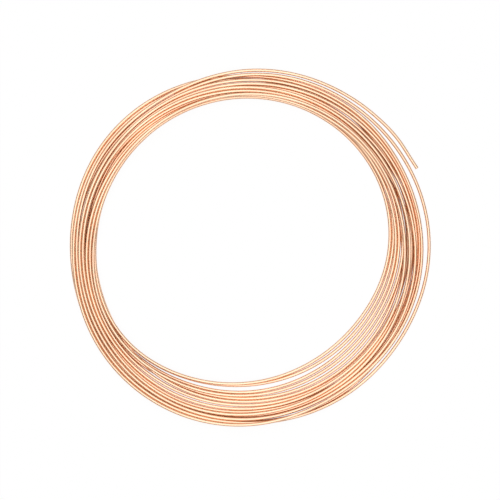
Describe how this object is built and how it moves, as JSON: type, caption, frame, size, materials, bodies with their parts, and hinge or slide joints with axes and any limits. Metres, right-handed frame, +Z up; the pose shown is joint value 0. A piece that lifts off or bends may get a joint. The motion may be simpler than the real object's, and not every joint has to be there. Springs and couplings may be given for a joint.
{
  "type": "coil of aluminium wire",
  "caption": "Loose flat round coil of copper-coloured round aluminium wire, untied, with one free end springing clear of it.",
  "frame": {"origin": "on the floor under the middle of the coil's round outline, with the coil lying flat", "axes": "+Z up through the bore; the free end lies towards +X and +Y, and the turns are spread widest towards +X and -Y"},
  "size_m": [0.2182, 0.2189, 0.0061],
  "materials": {
    "wire": "bright drawn wire with a clear copper-coloured anodised surface"
  },
  "bodies": {
    "root": {"wire_coil": "wire"}
  },
  "joints": []
}
